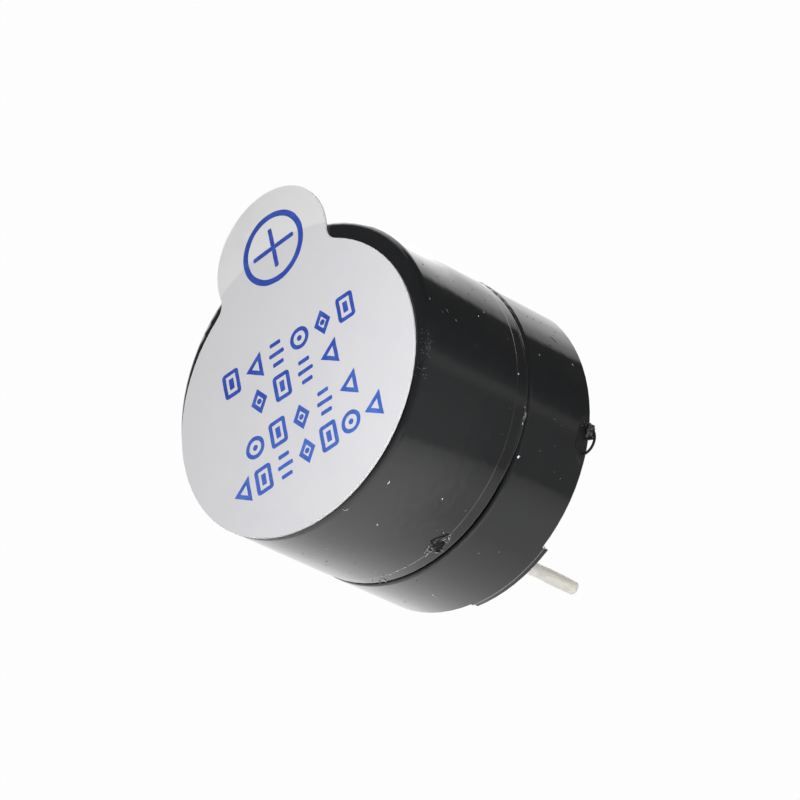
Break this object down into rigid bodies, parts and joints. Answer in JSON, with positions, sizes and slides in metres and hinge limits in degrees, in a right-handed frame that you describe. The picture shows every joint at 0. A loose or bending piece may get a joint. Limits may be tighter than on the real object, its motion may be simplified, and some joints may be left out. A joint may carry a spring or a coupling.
{
  "type": "magnetic buzzer",
  "caption": "Round through-hole magnetic buzzer with a pull-off wash seal over its sound port and two round solder pins.",
  "frame": {"origin": "midway between the two pins, on the plane that the feet stand on, where the circuit board's face meets the part", "axes": "+Z out of the sound port, away from the circuit board; the pins point along -Z; +X towards the positive pin and the label's pull tab"},
  "size_m": [0.0143, 0.012, 0.0143],
  "materials": {
    "case_moulding": "glossy black moulding",
    "label_film": "light grey satin film with blue print",
    "resin": "black potting resin",
    "tinned_wire": "dull tin plating",
    "solder": "satin solder",
    "board_laminate": "green board laminate",
    "copper_foil": "copper foil",
    "component_moulding": "matt black epoxy",
    "plated_lead": "plated lead",
    "resistor_body": "black coated ceramic",
    "diode_glass": "amber glass",
    "soft_iron": "nickel-plated soft iron",
    "insulating_paper": "insulating paper",
    "enamelled_wire": "enamelled copper wire",
    "magnet": "dark grey sintered magnet",
    "spring_steel": "bright spring steel"
  },
  "bodies": {
    "root": {"lower_case": "case_moulding", "upper_case": "case_moulding", "wash_label": "label_film", "sealing_resin": "resin", "positive_pin": "tinned_wire", "negative_pin": "tinned_wire", "positive_solder": "solder", "negative_solder": "solder", "circuit_board": "board_laminate", "copper_tracks": "copper_foil", "transistor": "component_moulding", "transistor_leads": "plated_lead", "bias_resistor": "resistor_body", "resistor_caps": "plated_lead", "flyback_diode": "diode_glass", "diode_caps": "plated_lead", "yoke_plate": "soft_iron", "pole_core": "soft_iron", "coil_washer": "insulating_paper", "coil_winding": "enamelled_wire", "coil_lead_1": "enamelled_wire", "coil_lead_2": "enamelled_wire", "coil_lead_3": "enamelled_wire", "lead_solder_1": "solder", "lead_solder_2": "solder", "lead_solder_3": "solder", "magnet_ring": "magnet", "diaphragm": "spring_steel", "armature_disc": "soft_iron"}
  },
  "joints": []
}
